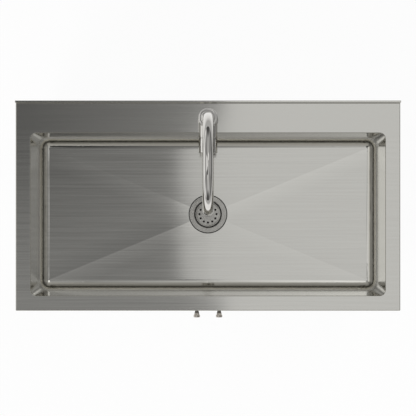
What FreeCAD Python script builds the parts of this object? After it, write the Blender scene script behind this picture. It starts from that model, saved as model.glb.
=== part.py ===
import FreeCAD, Part
import math
import os

# Laundry sink cabinet, in millimetres. The front faces -Y, +Z is up, the origin is on the floor
# under the middle of the whole outline.

# Pressed steel top
TOP_WIDTH = 1100.0
TOP_DEPTH = 600.0
TOP_HEIGHT = 900.0
SHEET = 1.5
APRON_DROP = 40.0
EDGE_BEND = 2.2
UPSTAND_HEIGHT = 22.0
UPSTAND_THICKNESS = 6.0
UPSTAND_COVE = 2.0
UPSTAND_EDGE = 1.2
SIDE_RIM = 43.0
REAR_DECK = 92.0

# Basin
BASIN_DEPTH = 230.0
BASIN_DRAFT = 10.0
BASIN_CORNER = 18.0
FLOOR_BEND = 26.0
FLOOR_CORNER_SPARE = 3.0
FLOOR_LEDGE = 3.0
FLOOR_FALL = 2.0
LIP_WIDTH = 8.0
LIP_BEND = 2.0
NECK_DEPTH = 5.0
BASIN_CLEARANCE = 1.5

# Strainer, drain and trap
FLANGE_RADIUS = 57.0
FLANGE_THICKNESS = 2.4
FLANGE_ROUND = 3.0
FLANGE_MOUTH = 1.8
SEAT_CLEARANCE = 0.7
SEAT_STEP = 1.8
THROAT_RADIUS = 41.0
BOWL_WALL = 1.6
BOWL_DEPTH = 46.0
BOWL_TAPER = 3.5
BOWL_ROUND = 5.0
LEDGE_DEPTH = 7.0
LEDGE_WIDTH = 2.5
OUTLET_WALL = 4.6
OUTLET_LENGTH = 20.0
THREAD_CLEARANCE = 0.3
THREAD_RUNOUT = 3.0
HOLE_CLEARANCE = 1.4
GASKET_THICKNESS = 3.0
FRICTION_THICKNESS = 1.0
LOCKNUT_HEIGHT = 9.0
LOCKNUT_RIM = 14.0
LOCKNUT_LUGS = 8
LUG_REACH = 4.0
LUG_WIDTH = 10.0
BASKET_DEPTH = 18.0
BASKET_WALL = 1.2
BASKET_SLOPE = 2.5
BASKET_PLAY = 1.5
BASKET_HOLES = 12
BASKET_HOLE_RADIUS = 2.4
BASKET_HOLE_CIRCLE = 25.4
POST_RADIUS = 6.5
POST_FOOT = 2.0
POST_GRIP = 7.0
POST_HEAD = 3.0
POST_EDGE = 1.5
STEM_RADIUS = 3.0
STOPPER_THICKNESS = 5.0
STOPPER_DROP = 12.0
STOPPER_OVERLAP = 3.0
STOPPER_TAPER = 5.0
STOPPER_LIP = 1.0
PIPE_RADIUS = 19.0
PIPE_WALL = 1.7
TAILPIECE_LENGTH = 95.0
TAILPIECE_FLANGE = 2.0
COUPLING_HEIGHT = 10.0
NUT_LIP = 3.0
NUT_RIM = 5.5
SOCKET_WALL = 3.2
SOCKET_DEPTH = 40.0
SLIP_NUT_HEIGHT = 16.0
TRAP_RADIUS = 48.0
TRAP_DROP = 25.0
TRAP_RISE = 20.0
ELBOW_RADIUS = 38.0
ELBOW_RISE = 14.0

# Tap
TAP_SETBACK = 36.0
TAP_HOLE_RADIUS = 17.5
BASE_GASKET = 1.5
GASKET_INSET = 0.5
BASE_RING_HEIGHT = 5.0
BASE_RING_RADIUS = 29.0
BODY_RADIUS = 27.0
BODY_HEIGHT = 158.0
BODY_EDGE = 4.0
SHANK_RADIUS = 16.0
SHANK_GRIP = 12.0
SHANK_DROP = 46.0
INLET_RADIUS = 5.0
INLET_DEPTH = 18.0
INLET_SPREAD = 7.5
WASHER_RIM = 11.0
WASHER_SPARE = 1.0
WASHER_THICKNESS = 3.0
MOUNT_NUT_HEIGHT = 9.0
BARREL_RADIUS = 26.5
BARREL_RISE = 95.0
BARREL_SEAM = 53.0
PIVOT_REACH = 40.0
CAP_REACH = 96.0
CAP_GAP = 0.8
CAP_EDGE = 2.0
CAP_GROOVE = 0.8
CARTRIDGE_RADIUS = 20.0
CARTRIDGE_BACK = 18.0
TURRET_RADIUS = 14.0
TURRET_NOSE = 6.0
TURRET_FLOOR = 3.0
BONNET_OPENING = 36.0
BONNET_SKIRT = 9.0
BONNET_WALL = 3.0
LEVER_BAR = 7.0
LEVER_SWING = 10.0
LEVER_EYE = 4.9
PIN_RADIUS = 2.0
PIN_INSET = 0.5
LEVER_RADIUS = 4.5
LEVER_LENGTH = 62.0
LEVER_GRIP = 13.0
LEVER_REACH = 83.0
SPIGOT_RADIUS = 13.0
SPIGOT_LENGTH = 26.0
WATERWAY_RADIUS = 8.0
SEAL_WIRE = 1.1
SEAL_PLAY = 0.2
SEAL_INSET = 8.0
COLLAR_RADIUS = 20.0
COLLAR_HEIGHT = 6.0
TUBE_RADIUS = 15.2
TUBE_WALL = 2.5
SPOUT_RADIUS = 128.0
SPOUT_RISE = 8.0
SPOUT_DROP = 18.0
AERATOR_RIM = 0.7
AERATOR_HEIGHT = 6.0
AERATOR_GRIP = 8.0
AERATOR_WALL = 1.7
AERATOR_EDGE = 1.0
AERATOR_SETBACK = 1.8
AERATOR_RINGS = 2
AERATOR_HOLE_RADIUS = 1.1
RUN = 0.06
FIT = 0.05
LIFT = 0.3

# Cabinet boards
PANEL = 16.0
APRON_CLEARANCE = 1.8
FRAME_THICKNESS = 16.0
FRAME_STILE = 38.0
FRAME_FOOT_RAIL = 38.0
FRAME_OVERLAP = 16.0
TOE_HEIGHT = 100.0
TOE_RECESS = 60.0
GLIDE_HEIGHT = 4.0
GLIDE_INSET = 40.0
GLIDE_RADIUS = 7.2
REAR_RAIL = 110.0
WALL_HOLE_RADIUS = 3.5
WALL_HOLE_SPACING = 800.0
BACK_PANEL = 6.0
CUTOUT_WIDTH = 420.0
CUTOUT_MARGIN = 90.0

# Doors
DOOR_THICKNESS = 19.0
DOOR_SETBACK = 3.0
DOOR_REVEAL = 3.0
DOOR_FOOT_REVEAL = 12.0
DOOR_MEETING = 3.0
DOOR_STILE = 62.0
DOOR_RAIL = 62.0
DOOR_PANEL = 6.0
PANEL_RECESS = 7.0
GROOVE = 9.0
PANEL_PLAY = 1.5
BUMPER_RADIUS = 4.0
BUMPER_INSET = 9.0

# Hinges, catches and knobs
HINGE_REVEAL = 22.0
HINGE_HEIGHT = 60.0
HINGE_INSET = 90.0
KNUCKLE_RADIUS = 4.0
KNUCKLE_GAP = 0.3
HINGE_LEAF = 1.5
LEAF_CLEARANCE = 0.5
FRAME_LEAF_WIDTH = 15.0
DOOR_LEAF_WIDTH = 38.0
HINGE_PIN_RADIUS = 2.0
PIN_HEAD = 1.5
PIN_HEAD_RADIUS = 3.0
CATCH_WIDTH = 28.0
CATCH_HEIGHT = 12.0
CATCH_DEPTH = 14.0
STRIKE_THICKNESS = 1.0
KNOB_PROJECTION = 28.0
KNOB_RADIUS = 9.5
KNOB_HEAD = 7.5
KNOB_NECK = 4.6
KNOB_FOOT = 6.5
KNOB_BASE = 1.5
KNOB_WAIST = 4.75
KNOB_SHOULDER = 1.4
KNOB_CROWN = 3.0
KNOB_DROP = 62.0
SCREW_RADIUS = 2.0
SCREW_GRIP = 12.0
SCREW_SPARE = 1.0

# Derived levels of the top and the cabinet
HALF = TOP_WIDTH / 2
KNOB_STANDOUT = KNOB_PROJECTION - DOOR_SETBACK
BACK = (TOP_DEPTH + KNOB_STANDOUT) / 2
FRONT = BACK - TOP_DEPTH
UNDER = TOP_HEIGHT - SHEET
APRON_FOOT = TOP_HEIGHT - APRON_DROP
CARCASS_HALF = HALF - SHEET - APRON_CLEARANCE
CARCASS_BACK = BACK - SHEET - APRON_CLEARANCE
INSIDE_HALF = CARCASS_HALF - PANEL
DOOR_GAP = HINGE_LEAF + LEAF_CLEARANCE
DOOR_FRONT = FRONT + DOOR_SETBACK
DOOR_BACK = DOOR_FRONT + DOOR_THICKNESS
FRAME_FRONT = DOOR_BACK + DOOR_GAP
FRAME_BACK = FRAME_FRONT + FRAME_THICKNESS
TOE_FACE = FRAME_FRONT + TOE_RECESS
BOTTOM_TOP = TOE_HEIGHT + FRAME_FOOT_RAIL
BOTTOM_FOOT = BOTTOM_TOP - PANEL
LOW_RAIL_TOP = BOTTOM_TOP + REAR_RAIL
HIGH_RAIL_FOOT = UNDER - REAR_RAIL

# Derived levels of the basin and the drain
BASIN_FRONT = FRAME_BACK + BASIN_CLEARANCE + SHEET
BASIN_REAR = BACK - REAR_DECK
BASIN_HALF = HALF - SIDE_RIM
BASIN_WIDTH = 2 * BASIN_HALF
BASIN_SPAN = BASIN_REAR - BASIN_FRONT
BASIN_Y = (BASIN_FRONT + BASIN_REAR) / 2
NECK_Z = TOP_HEIGHT - NECK_DEPTH
FLOOR_Z = TOP_HEIGHT - BASIN_DEPTH
FLOOR_CORNER = FLOOR_BEND + FLOOR_CORNER_SPARE
SEAT_Z = FLOOR_Z - FLOOR_FALL - SEAT_STEP
SEAT_RADIUS = FLANGE_RADIUS + SEAT_CLEARANCE
THREAD_RADIUS = THROAT_RADIUS + BOWL_WALL
DRAIN_HOLE = THREAD_RADIUS + HOLE_CLEARANCE
GASKET_Z = SEAT_Z - SHEET - GASKET_THICKNESS
FRICTION_Z = GASKET_Z - FRICTION_THICKNESS
LOCKNUT_Z = FRICTION_Z - LOCKNUT_HEIGHT
OUTLET_BORE = PIPE_RADIUS - PIPE_WALL
OUTLET_RADIUS = OUTLET_BORE + OUTLET_WALL
OUTLET_Z = SEAT_Z - BOWL_DEPTH - OUTLET_LENGTH
TAIL_Z = OUTLET_Z - TAILPIECE_FLANGE - TAILPIECE_LENGTH
SOCKET_BORE = PIPE_RADIUS + THREAD_CLEARANCE
SOCKET_RADIUS = PIPE_RADIUS + SOCKET_WALL
TRAP_Z = TAIL_Z - TRAP_DROP
TRAP_EXIT_Y = BASIN_Y + 2 * TRAP_RADIUS
TRAP_EXIT_Z = TRAP_Z + TRAP_RISE
ARM_Z = TRAP_EXIT_Z + SOCKET_DEPTH + ELBOW_RISE + ELBOW_RADIUS

# Derived levels of the tap
TAP_Y = BASIN_REAR + TAP_SETBACK
RING_Z = TOP_HEIGHT + BASE_GASKET
BODY_Z = RING_Z + BASE_RING_HEIGHT
BODY_TOP = TOP_HEIGHT + BODY_HEIGHT
BARREL_Z = TOP_HEIGHT + BARREL_RISE
SPHERE = math.hypot(BARREL_RADIUS, BARREL_SEAM - PIVOT_REACH)
CARTRIDGE_FRONT = BARREL_SEAM - BONNET_SKIRT
SPOUT_Z = BODY_TOP + COLLAR_HEIGHT + SPOUT_RISE
OUTLET_Y = TAP_Y - 2 * SPOUT_RADIUS
TIP_Z = SPOUT_Z - SPOUT_DROP

# Derived levels of the doors
DOOR_TOP = APRON_FOOT - DOOR_REVEAL
DOOR_FOOT = TOE_HEIGHT + DOOR_FOOT_REVEAL
DOOR_INNER = DOOR_MEETING / 2
DOOR_OUTER = CARCASS_HALF - HINGE_REVEAL
TOP_RAIL_FOOT = DOOR_TOP - FRAME_OVERLAP
PANEL_FRONT = DOOR_FRONT + PANEL_RECESS
HINGE_X = DOOR_OUTER + KNUCKLE_RADIUS + LEAF_CLEARANCE
HINGE_Y = FRAME_FRONT - KNUCKLE_RADIUS - KNUCKLE_GAP
HINGE_LEVELS = (DOOR_FOOT + HINGE_INSET, DOOR_TOP - HINGE_INSET - HINGE_HEIGHT)
KNOB_X = DOOR_INNER + DOOR_STILE / 2
KNOB_Z = DOOR_TOP - KNOB_DROP


def vec(x, y, z):
    return FreeCAD.Vector(x, y, z)


def block(x, y, z):
    return Part.makeBox(x[1] - x[0], y[1] - y[0], z[1] - z[0], vec(x[0], y[0], z[0]))


def rod(radius, start, end):
    return Part.makeCylinder(radius, (end - start).Length, start, end - start)


def upright(radius, x, y, low, high):
    return rod(radius, vec(x, y, low), vec(x, y, high))


def ring(outer, inner, y, low, high):
    return upright(outer, 0, y, low, high).cut(upright(inner, 0, y, low, high))


def arc(here, there, turn):
    # An arc of a profile that turns left by an angle in degrees on its way, or right where it is negative.
    share = math.tan(math.radians(turn) / 4) / 2
    across = there[0] - here[0]
    rise = there[1] - here[1]
    middle = vec((here[0] + there[0]) / 2 + share * rise, 0, (here[1] + there[1]) / 2 - share * across)
    return Part.Arc(vec(here[0], 0, here[1]), middle, vec(there[0], 0, there[1])).toShape()


def outline(steps):
    # A step is a radius and a height, and a third value is the turn of the arc that leads there.
    edges = []
    here = steps[0]
    for there in steps[1:] + [steps[0]]:
        if len(there) == 3:
            edges.append(arc(here, there, there[2]))
        else:
            edges.append(Part.makeLine(vec(here[0], 0, here[1]), vec(there[0], 0, there[1])))
        here = there
    return Part.Wire(edges)


def turned(steps, y=0, z=0):
    solid = Part.Face(outline(steps)).revolve(vec(0, 0, 0), vec(0, 0, 1), 360)
    solid.translate(vec(0, y, z))
    return solid


def bend(centre, radius, angle):
    # A point on a circle, the angle in degrees from the radius axis.
    return (centre[0] + radius * math.cos(math.radians(angle)),
            centre[1] + radius * math.sin(math.radians(angle)))


def forward(solid, x, y, z):
    # Turns a piece modelled upright so that its axis points to the front.
    solid.Placement = FreeCAD.Placement(vec(x, y, z), FreeCAD.Rotation(vec(1, 0, 0), 90))
    return solid


def on_barrel(solid):
    return forward(solid, 0, TAP_Y, BARREL_Z)


def pipe(path, radius):
    start = path[0].valueAt(path[0].FirstParameter)
    circle = Part.makeCircle(radius, start, path[0].tangentAt(path[0].FirstParameter))
    return Part.Wire(path).makePipeShell([Part.Wire([circle])], True, False)


def mirrored(solid):
    return solid.mirror(vec(0, 0, 0), vec(1, 0, 0))


def both(solid):
    return [solid, mirrored(solid)]


def level_edges(solid, z):
    return [e for e in solid.Edges if all(abs(v.Z - z) < 0.01 for v in e.Vertexes)]


def round_rectangle(width, span, radius, z):
    x = width / 2
    y = span / 2
    edges = []
    for sx, sy in ((1, 1), (-1, 1), (-1, -1), (1, -1)):
        centre = vec(sx * (x - radius), BASIN_Y + sy * (y - radius), z)
        side = vec(sx * radius, 0, 0)
        end = vec(0, sy * radius, 0)
        middle = vec(sx * radius, sy * radius, 0) * math.sqrt(0.5)
        first, last = (side, end) if sx * sy > 0 else (end, side)
        edges.append(Part.Arc(centre + first, centre + middle, centre + last).toShape())
    lines = []
    for i in range(4):
        lines.append(edges[i])
        here = edges[i].valueAt(edges[i].LastParameter)
        there = edges[(i + 1) % 4].valueAt(edges[(i + 1) % 4].FirstParameter)
        lines.append(Part.makeLine(here, there))
    return Part.Wire(lines)


def plate(width, span, radius, low, high):
    return Part.Face(round_rectangle(width, span, radius, low)).extrude(vec(0, 0, high - low))


def prism_nut(sides, radius, bore, y, low, high):
    step = 2 * math.pi / sides
    points = [vec(radius * math.cos(i * step), y + radius * math.sin(i * step), low) for i in range(sides)]
    solid = Part.Face(Part.makePolygon(points + points[:1])).extrude(vec(0, 0, high - low))
    return solid.cut(upright(bore, 0, y, low, high))


# Steel top: folded deck with its upstand, and the pressed basin welded into it

def folded_block(inset, bend_radius, low, high):
    solid = block((inset - HALF, HALF - inset), (FRONT + inset, BACK - inset), (low, high))
    edges = []
    for edge in solid.Edges:
        middle = edge.CenterOfMass
        at_top = middle.z > high - 0.01 and middle.y < BACK - inset - 0.01
        at_corner = low < middle.z - 0.01 and middle.z < high - 0.01 and middle.y < FRONT + inset + 0.01
        if at_top or at_corner:
            edges.append(edge)
    return solid.makeFillet(bend_radius, edges)


def upstand_cove(face):
    # The concave bend between the deck and the upstand.
    reach = HALF - EDGE_BEND
    foot = vec(-reach, face - UPSTAND_COVE, TOP_HEIGHT)
    corner = vec(-reach, face, TOP_HEIGHT)
    head = vec(-reach, face, TOP_HEIGHT + UPSTAND_COVE)
    hollow = UPSTAND_COVE * (1 - math.sqrt(0.5))
    middle = vec(-reach, face - hollow, TOP_HEIGHT + hollow)
    wire = Part.Wire([Part.makeLine(foot, corner), Part.makeLine(corner, head),
                      Part.Arc(head, middle, foot).toShape()])
    return Part.Face(wire).extrude(vec(2 * reach, 0, 0))


def sink_deck():
    top = TOP_HEIGHT + UPSTAND_HEIGHT
    face = BACK - UPSTAND_THICKNESS
    upstand = block((-HALF, HALF), (face, BACK), (TOP_HEIGHT - EDGE_BEND, top))
    upstand = upstand.makeFillet(UPSTAND_EDGE, level_edges(upstand, top))
    deck = folded_block(0, EDGE_BEND, APRON_FOOT, TOP_HEIGHT).fuse([upstand, upstand_cove(face)])
    deck = deck.cut(folded_block(SHEET, EDGE_BEND - SHEET, APRON_FOOT - APRON_DROP, UNDER))
    hem = block((SHEET - HALF, HALF - SHEET), (face + SHEET, BACK - SHEET), (UNDER - SHEET, top - SHEET))
    mouth = plate(BASIN_WIDTH + 2 * LIP_WIDTH, BASIN_SPAN + 2 * LIP_WIDTH, BASIN_CORNER + LIP_WIDTH,
                  UNDER - SHEET, top)
    hole = upright(TAP_HOLE_RADIUS, 0, TAP_Y, UNDER - SHEET, top)
    return deck.cut([hem, mouth, hole])


def basin_space(grow):
    # The drafted walls with their floor bend, the four-way fall and the strainer seat, grown by the sheet.
    foot = FLOOR_Z - grow
    inset = BASIN_DRAFT - grow
    walls = Part.makeLoft([
        round_rectangle(BASIN_WIDTH + 2 * grow, BASIN_SPAN + 2 * grow, BASIN_CORNER + grow, NECK_Z),
        round_rectangle(BASIN_WIDTH - 2 * inset, BASIN_SPAN - 2 * inset, FLOOR_CORNER + grow, foot),
    ], True, True)
    walls = walls.makeFillet(FLOOR_BEND + grow, level_edges(walls, foot))
    margin = BASIN_DRAFT + FLOOR_BEND + FLOOR_LEDGE
    x = BASIN_HALF - margin
    y = BASIN_SPAN / 2 - margin
    corners = [vec(sx * x, BASIN_Y + sy * y, foot) for sx, sy in ((1, 1), (-1, 1), (-1, -1), (1, -1))]
    apex = vec(0, BASIN_Y, foot - FLOOR_FALL)
    faces = [Part.Face(Part.makePolygon(corners + corners[:1]))]
    for i in range(4):
        faces.append(Part.Face(Part.makePolygon([corners[i], corners[(i + 1) % 4], apex, corners[i]])))
    fall = Part.Solid(Part.Shell(faces))
    seat = upright(SEAT_RADIUS + grow, 0, BASIN_Y, SEAT_Z - grow, FLOOR_Z)
    return walls.fuse([fall, seat])


def basin_lip():
    # The flat weld lip and the short straight neck that the walls hang from, bent over at the mouth.
    reach = 2 * LIP_WIDTH
    lip = plate(BASIN_WIDTH + reach, BASIN_SPAN + reach, BASIN_CORNER + LIP_WIDTH, UNDER, TOP_HEIGHT)
    neck = plate(BASIN_WIDTH + 2 * SHEET, BASIN_SPAN + 2 * SHEET, BASIN_CORNER + SHEET, NECK_Z, TOP_HEIGHT)
    mouth = plate(BASIN_WIDTH, BASIN_SPAN, BASIN_CORNER, NECK_Z, TOP_HEIGHT)
    lip = lip.fuse(neck).cut(mouth).removeSplitter()
    edges = [e for e in level_edges(lip, TOP_HEIGHT)
             if e.BoundBox.XMax < BASIN_HALF + LIP_BEND and e.BoundBox.XMin > -BASIN_HALF - LIP_BEND
             and e.BoundBox.YMax < BASIN_REAR + LIP_BEND and e.BoundBox.YMin > BASIN_FRONT - LIP_BEND]
    return lip.makeFillet(LIP_BEND, edges)


def sink_basin():
    drain = upright(DRAIN_HOLE, 0, BASIN_Y, SEAT_Z - BOWL_DEPTH, FLOOR_Z)
    bowl = basin_space(SHEET).cut([basin_space(0), drain])
    return bowl.fuse(basin_lip())


# Strainer and waste

def strainer_body():
    foot = THROAT_RADIUS - LEDGE_WIDTH - BOWL_TAPER
    turn = BOWL_DEPTH - BOWL_ROUND
    end = OUTLET_Z - SEAT_Z
    return turned([
        (FLANGE_RADIUS, 0),
        (FLANGE_RADIUS, FLANGE_THICKNESS / 2),
        (FLANGE_RADIUS - FLANGE_ROUND, FLANGE_THICKNESS, 60),
        (THROAT_RADIUS + FLANGE_MOUTH, FLANGE_THICKNESS),
        (THROAT_RADIUS, FLANGE_THICKNESS - FLANGE_MOUTH, 90),
        (THROAT_RADIUS, -LEDGE_DEPTH),
        (THROAT_RADIUS - LEDGE_WIDTH, -LEDGE_DEPTH),
        (foot, -turn),
        (foot - BOWL_ROUND, -BOWL_DEPTH, -70),
        (OUTLET_BORE, -BOWL_DEPTH),
        (OUTLET_BORE, end),
        (OUTLET_RADIUS, end),
        (OUTLET_RADIUS, -BOWL_DEPTH - 2 * BOWL_WALL),
        (foot - BOWL_ROUND, -BOWL_DEPTH - 2 * BOWL_WALL),
        (foot + BOWL_WALL, -turn, 70),
        (THREAD_RADIUS, LOCKNUT_Z - SEAT_Z - THREAD_RUNOUT),
        (THREAD_RADIUS, 0),
    ], BASIN_Y, SEAT_Z)


def strainer_locknut():
    rim = THREAD_RADIUS + LOCKNUT_RIM
    nut = ring(rim, THREAD_RADIUS + THREAD_CLEARANCE, BASIN_Y, LOCKNUT_Z, FRICTION_Z)
    half = LUG_WIDTH / 2
    lug = block((rim - LUG_REACH / 2, rim + LUG_REACH), (BASIN_Y - half, BASIN_Y + half),
                (LOCKNUT_Z, FRICTION_Z))
    lugs = []
    for i in range(LOCKNUT_LUGS):
        lugs.append(lug.copy())
        lugs[-1].rotate(vec(0, BASIN_Y, 0), vec(0, 0, 1), 360 * i / LOCKNUT_LUGS)
    return nut.fuse(lugs).removeSplitter()


def basket_cup():
    rest = LIFT - LEDGE_DEPTH
    rim = THROAT_RADIUS - 2 * LIFT
    wall = THROAT_RADIUS - LEDGE_WIDTH - BASKET_PLAY
    floor = rest - BASKET_DEPTH
    cup = turned([
        (STEM_RADIUS + FIT, floor),
        (wall - BASKET_SLOPE, floor),
        (wall, rest),
        (rim, rest),
        (rim, rest + BASKET_WALL, 90),
        (wall - BASKET_WALL, rest + BASKET_WALL),
        (wall - BASKET_SLOPE - BASKET_WALL, floor + BASKET_WALL),
        (STEM_RADIUS + FIT, floor + BASKET_WALL),
    ], BASIN_Y, SEAT_Z)
    holes = []
    for i in range(BASKET_HOLES):
        angle = 2 * math.pi * i / BASKET_HOLES
        x = BASKET_HOLE_CIRCLE * math.cos(angle)
        y = BASIN_Y + BASKET_HOLE_CIRCLE * math.sin(angle)
        low = SEAT_Z + floor - BASKET_WALL
        holes.append(upright(BASKET_HOLE_RADIUS, x, y, low, low + 3 * BASKET_WALL))
    return cup.cut(holes)


def basket_post():
    floor = LIFT - LEDGE_DEPTH - BASKET_DEPTH + BASKET_WALL
    low = floor - BASKET_WALL - STOPPER_DROP - STOPPER_THICKNESS
    head = floor + POST_FOOT + POST_GRIP + POST_HEAD
    return turned([
        (0, low),
        (STEM_RADIUS, low),
        (STEM_RADIUS, floor),
        (POST_RADIUS, floor),
        (POST_RADIUS, floor + POST_FOOT),
        (POST_RADIUS, floor + POST_FOOT + POST_GRIP, -130),
        (POST_RADIUS, head),
        (POST_RADIUS - POST_EDGE, head + POST_EDGE, 90),
        (0, head + POST_EDGE),
    ], BASIN_Y, SEAT_Z)


def basket_stopper():
    top = LIFT - LEDGE_DEPTH - BASKET_DEPTH - STOPPER_DROP
    rim = PIPE_RADIUS + STOPPER_OVERLAP
    return turned([
        (STEM_RADIUS + FIT, top - STOPPER_THICKNESS),
        (rim - STOPPER_TAPER, top - STOPPER_THICKNESS),
        (rim, top - STOPPER_LIP),
        (rim, top),
        (STEM_RADIUS + FIT, top),
    ], BASIN_Y, SEAT_Z)


def tailpiece():
    tube = upright(PIPE_RADIUS, 0, BASIN_Y, TAIL_Z, OUTLET_Z)
    flange = upright(OUTLET_RADIUS - THREAD_CLEARANCE, 0, BASIN_Y, OUTLET_Z - TAILPIECE_FLANGE, OUTLET_Z)
    return tube.fuse(flange).cut(upright(OUTLET_BORE, 0, BASIN_Y, TAIL_Z, OUTLET_Z)).removeSplitter()


def coupling_nut():
    thread = OUTLET_RADIUS + THREAD_CLEARANCE
    foot = OUTLET_Z - TAILPIECE_FLANGE
    nut = prism_nut(8, thread + NUT_RIM, SOCKET_BORE, BASIN_Y, foot - NUT_LIP, OUTLET_Z + COUPLING_HEIGHT)
    return nut.cut(upright(thread, 0, BASIN_Y, foot, OUTLET_Z + COUPLING_HEIGHT))


def slip_nut(y, socket_top):
    thread = SOCKET_RADIUS + THREAD_CLEARANCE
    low = socket_top - SLIP_NUT_HEIGHT
    nut = prism_nut(8, thread + NUT_RIM, SOCKET_BORE, y, low, socket_top + NUT_LIP)
    return nut.cut(upright(thread, 0, y, low, socket_top))


def trap_bend():
    start = vec(0, BASIN_Y, TAIL_Z)
    low = vec(0, BASIN_Y, TRAP_Z)
    middle = vec(0, BASIN_Y + TRAP_RADIUS, TRAP_Z - TRAP_RADIUS)
    rise = vec(0, TRAP_EXIT_Y, TRAP_Z)
    end = vec(0, TRAP_EXIT_Y, TRAP_EXIT_Z)
    path = [Part.makeLine(start, low), Part.Arc(low, middle, rise).toShape(), Part.makeLine(rise, end)]
    inlet = upright(SOCKET_RADIUS, 0, BASIN_Y, TAIL_Z - SOCKET_WALL, TAIL_Z + SOCKET_DEPTH)
    exit = upright(SOCKET_RADIUS, 0, TRAP_EXIT_Y, TRAP_EXIT_Z - SOCKET_WALL, TRAP_EXIT_Z + SOCKET_DEPTH)
    inlet_bore = upright(SOCKET_BORE, 0, BASIN_Y, TAIL_Z, TAIL_Z + SOCKET_DEPTH)
    exit_bore = upright(SOCKET_BORE, 0, TRAP_EXIT_Y, TRAP_EXIT_Z, TRAP_EXIT_Z + SOCKET_DEPTH)
    body = pipe(path, PIPE_RADIUS).fuse([inlet, exit])
    return body.cut([pipe(path, OUTLET_BORE), inlet_bore, exit_bore])


def trap_arm():
    start = vec(0, TRAP_EXIT_Y, TRAP_EXIT_Z)
    knee = vec(0, TRAP_EXIT_Y, ARM_Z - ELBOW_RADIUS)
    slant = ELBOW_RADIUS * (1 - math.sqrt(0.5))
    middle = vec(0, TRAP_EXIT_Y + slant, ARM_Z - slant)
    level = vec(0, TRAP_EXIT_Y + ELBOW_RADIUS, ARM_Z)
    end = vec(0, BACK, ARM_Z)
    path = [Part.makeLine(start, knee), Part.Arc(knee, middle, level).toShape(), Part.makeLine(level, end)]
    return pipe(path, PIPE_RADIUS).cut(pipe(path, OUTLET_BORE))


# Tap: body, mounting, mixing cartridge, handle and spout

def tap_base_ring():
    return turned([
        (SHANK_RADIUS + THREAD_CLEARANCE, 0),
        (BASE_RING_RADIUS, 0),
        (BASE_RING_RADIUS, BASE_RING_HEIGHT / 2),
        (BODY_RADIUS, BASE_RING_HEIGHT, 60),
        (SHANK_RADIUS + THREAD_CLEARANCE, BASE_RING_HEIGHT),
    ], TAP_Y, RING_Z)


def tap_body():
    column = turned([
        (0, BODY_Z),
        (BODY_RADIUS, BODY_Z),
        (BODY_RADIUS, BODY_TOP - BODY_EDGE),
        (BODY_RADIUS - BODY_EDGE, BODY_TOP, 90),
        (0, BODY_TOP),
    ], TAP_Y)
    barrel = rod(BARREL_RADIUS, vec(0, TAP_Y, BARREL_Z), vec(0, TAP_Y - BARREL_SEAM, BARREL_Z))
    chamber = rod(CARTRIDGE_RADIUS + FIT, vec(0, TAP_Y - CARTRIDGE_BACK, BARREL_Z),
                  vec(0, TAP_Y - BARREL_SEAM, BARREL_Z))
    spigot = upright(SPIGOT_RADIUS + RUN, 0, TAP_Y, BODY_TOP - SPIGOT_LENGTH - LIFT, BODY_TOP)
    grip = upright(SHANK_RADIUS + FIT, 0, TAP_Y, BODY_Z, BODY_Z + SHANK_GRIP)
    return column.fuse(barrel).cut([chamber, spigot, grip])


def mounting_shank():
    low = UNDER - SHANK_DROP
    shank = upright(SHANK_RADIUS, 0, TAP_Y, low, BODY_Z + SHANK_GRIP)
    inlets = [upright(INLET_RADIUS, x, TAP_Y, low, low + INLET_DEPTH) for x in (-INLET_SPREAD, INLET_SPREAD)]
    return shank.cut(inlets)


def mounting_nut():
    top = UNDER - WASHER_THICKNESS
    nut = prism_nut(6, SHANK_RADIUS + WASHER_RIM, SHANK_RADIUS + THREAD_CLEARANCE, TAP_Y,
                    top - MOUNT_NUT_HEIGHT, top)
    return nut


def cartridge_housing():
    outer = upright(CARTRIDGE_RADIUS, 0, 0, CARTRIDGE_BACK, CARTRIDGE_FRONT)
    floor = CARTRIDGE_BACK + (CARTRIDGE_RADIUS - TURRET_RADIUS) / 2
    return on_barrel(outer.cut(upright(TURRET_RADIUS + RUN, 0, 0, floor, CARTRIDGE_FRONT)))


def cartridge_bonnet():
    # A ring with a spherical face, centred on the point that the handle tilts about.
    centre = (0, PIVOT_REACH)
    seam_angle = math.degrees(math.atan2(BARREL_SEAM - PIVOT_REACH, BARREL_RADIUS))
    mouth = bend(centre, SPHERE, 90 - BONNET_OPENING)
    bore = CARTRIDGE_RADIUS - BONNET_WALL
    return on_barrel(turned([
        (BARREL_RADIUS, BARREL_SEAM),
        mouth + (90 - BONNET_OPENING - seam_angle,),
        bend(centre, SPHERE - BONNET_WALL, 90 - BONNET_OPENING),
        (bore, BARREL_SEAM),
        (bore, CARTRIDGE_FRONT),
        (CARTRIDGE_RADIUS, CARTRIDGE_FRONT),
        (CARTRIDGE_RADIUS, BARREL_SEAM),
    ]))


def cartridge_turret():
    floor = CARTRIDGE_BACK + (CARTRIDGE_RADIUS - TURRET_RADIUS) / 2 + LIFT
    half = LEVER_BAR / 2 + LIFT
    turret = upright(TURRET_RADIUS, 0, 0, floor, PIVOT_REACH + TURRET_NOSE)
    slot = block((-half, half), (-LEVER_SWING, LEVER_SWING),
                 (floor + TURRET_FLOOR, PIVOT_REACH + TURRET_NOSE))
    hole = rod(PIN_RADIUS + FIT, vec(-TURRET_RADIUS, 0, PIVOT_REACH), vec(TURRET_RADIUS, 0, PIVOT_REACH))
    return on_barrel(turret.cut([slot, hole]))


def cartridge_pin():
    half = TURRET_RADIUS - PIN_INSET
    return on_barrel(rod(PIN_RADIUS, vec(-half, 0, PIVOT_REACH), vec(half, 0, PIVOT_REACH)))


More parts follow.
